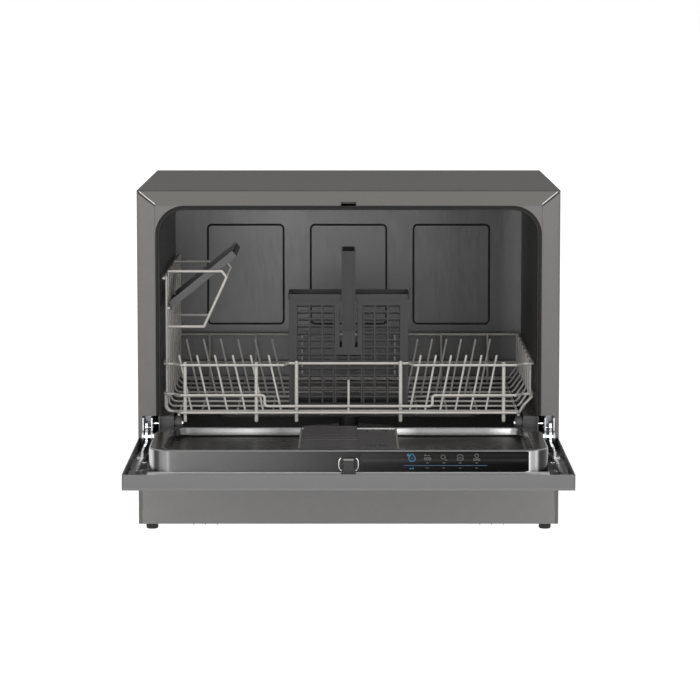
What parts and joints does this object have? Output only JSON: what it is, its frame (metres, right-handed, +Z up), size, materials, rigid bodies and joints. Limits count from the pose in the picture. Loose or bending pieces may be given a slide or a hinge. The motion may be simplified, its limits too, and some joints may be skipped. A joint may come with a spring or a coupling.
{
  "type": "countertop dishwasher",
  "caption": "Compact countertop dishwasher with a drop-down door, sliding wire rack with folding cup shelf, cutlery basket, spray arm and water fittings.",
  "frame": {"origin": "on the worktop below the middle of the whole machine with its door open, so the feet stand at Z 0", "axes": "+X across to the machine's right as seen from the front, +Y from the open door towards the back, +Z up"},
  "size_m": [0.55, 0.798, 0.445],
  "materials": {
    "casing_paint": "silk grey-brown powder coat",
    "zinc_sheet": "zinc-plated sheet",
    "tub_steel": "satin stainless steel",
    "chrome": "bright plated",
    "rubber": "matt black",
    "dark_plastic": "fine satin texture",
    "pale_plastic": "satin",
    "rack_coating": "smooth satin coating",
    "display_film": "glossy",
    "circuit_board": "lacquered"
  },
  "bodies": {
    "casing": {"top_panel": "casing_paint", "side_panel_left": "casing_paint", "side_panel_right": "casing_paint", "back_panel": "zinc_sheet", "base_tray": "zinc_sheet", "plinth": "casing_paint", "feet": "rubber", "casing_screws": "chrome", "tub": "tub_steel", "tub_frame": "casing_paint", "tub_gasket": "rubber", "sill_seal": "rubber", "door_lock": "dark_plastic", "sump": "dark_plastic", "filter_plate": "tub_steel", "heater": "chrome", "wash_pump": "dark_plastic", "drain_pump": "pale_plastic", "inlet_valve": "pale_plastic", "drain_spout": "dark_plastic", "cable_gland": "dark_plastic", "spray_hub": "dark_plastic", "hinge_bracket_left": "zinc_sheet", "hinge_bracket_right": "zinc_sheet", "hinge_pins": "chrome", "door_springs": "chrome", "roller_bracket_left": "dark_plastic", "roller_bracket_right": "dark_plastic", "roller_axles": "chrome", "rack_ledges": "tub_steel"},
    "door": {"door_outer_panel": "casing_paint", "door_liner": "tub_steel", "hinge_arm_left": "chrome", "hinge_arm_right": "chrome", "door_screws": "chrome", "control_board": "circuit_board", "display_strip": "display_film", "latch_housing": "dark_plastic", "dispenser_body": "dark_plastic"},
    "rack": {"rack_front_wires": "rack_coating", "rack_back_wires": "rack_coating", "rack_left_wires": "rack_coating", "rack_right_wires": "rack_coating", "rack_floor_wires": "rack_coating", "rack_glides": "dark_plastic", "tines_left": "rack_coating", "tines_right": "rack_coating", "cup_brackets": "rack_coating"},
    "latch": {"latch_tongue": "dark_plastic"},
    "dispenser_lid": {"dispenser_lid": "dark_plastic"},
    "rinse_cap": {"rinse_aid_cap": "dark_plastic"},
    "shelf": {"cup_shelf": "dark_plastic"},
    "basket": {"cutlery_basket": "dark_plastic"},
    "handle": {"basket_handle": "dark_plastic"},
    "spray_arm": {"spray_arm": "dark_plastic"},
    "filter": {"filter_cup": "pale_plastic"},
    "roller_l": {"roller_left": "dark_plastic"},
    "roller_r": {"roller_right": "dark_plastic"}
  },
  "joints": [
    {"name": "door_hinge", "type": "hinge", "parent": "casing", "child": "door", "pos_m": [0, -0.07895, 0.1227], "axis": [1, 0, 0], "range_deg": [-90, 0], "deforming": ["door_springs"]},
    {"name": "rack_slide", "type": "slide", "parent": "casing", "child": "rack", "axis": [0, -1, 0], "range_m": [0, 0.25]},
    {"name": "roller_left_spin", "type": "hinge", "parent": "casing", "child": "roller_l", "pos_m": [-0.223, -0.05345, 0.1373], "axis": [1, 0, 0], "continuous": true},
    {"name": "roller_right_spin", "type": "hinge", "parent": "casing", "child": "roller_r", "pos_m": [0.223, -0.05345, 0.1373], "axis": [1, 0, 0], "continuous": true},
    {"name": "spray_arm_spin", "type": "hinge", "parent": "casing", "child": "spray_arm", "pos_m": [0, 0.15287, 0.126], "axis": [0, 0, 1], "continuous": true},
    {"name": "filter_turn", "type": "hinge", "parent": "casing", "child": "filter", "pos_m": [0, 0.11487, 0.1], "axis": [0, 0, 1], "range_deg": [0, 90]},
    {"name": "latch_tilt", "type": "hinge", "parent": "door", "child": "latch", "pos_m": [0, -0.38425, 0.1242], "axis": [-1, 0, 0], "range_deg": [0, 8]},
    {"name": "dispenser_lid_slide", "type": "slide", "parent": "door", "child": "dispenser_lid", "axis": [0, -1, 0], "range_m": [0, 0.055]},
    {"name": "rinse_cap_turn", "type": "hinge", "parent": "door", "child": "rinse_cap", "pos_m": [0.036, -0.27195, 0.136], "axis": [0, 0, 1], "range_deg": [0, 90]},
    {"name": "cup_shelf_fold", "type": "hinge", "parent": "rack", "child": "shelf", "pos_m": [-0.2363, 0.03905, 0.2879], "axis": [0, -1, 0], "range_deg": [0, 45]},
    {"name": "basket_lift", "type": "slide", "parent": "rack", "child": "basket", "axis": [0, 0, 1], "range_m": [0, 0.05]},
    {"name": "handle_slide", "type": "slide", "parent": "basket", "child": "handle", "axis": [0, 0, 1], "range_m": [-0.045, 0]}
  ],
  "couplings": [
    {"joint": "roller_left_spin", "follows": "rack_slide", "rad_per_m": 105.26},
    {"joint": "roller_right_spin", "follows": "rack_slide", "rad_per_m": 105.26}
  ]
}
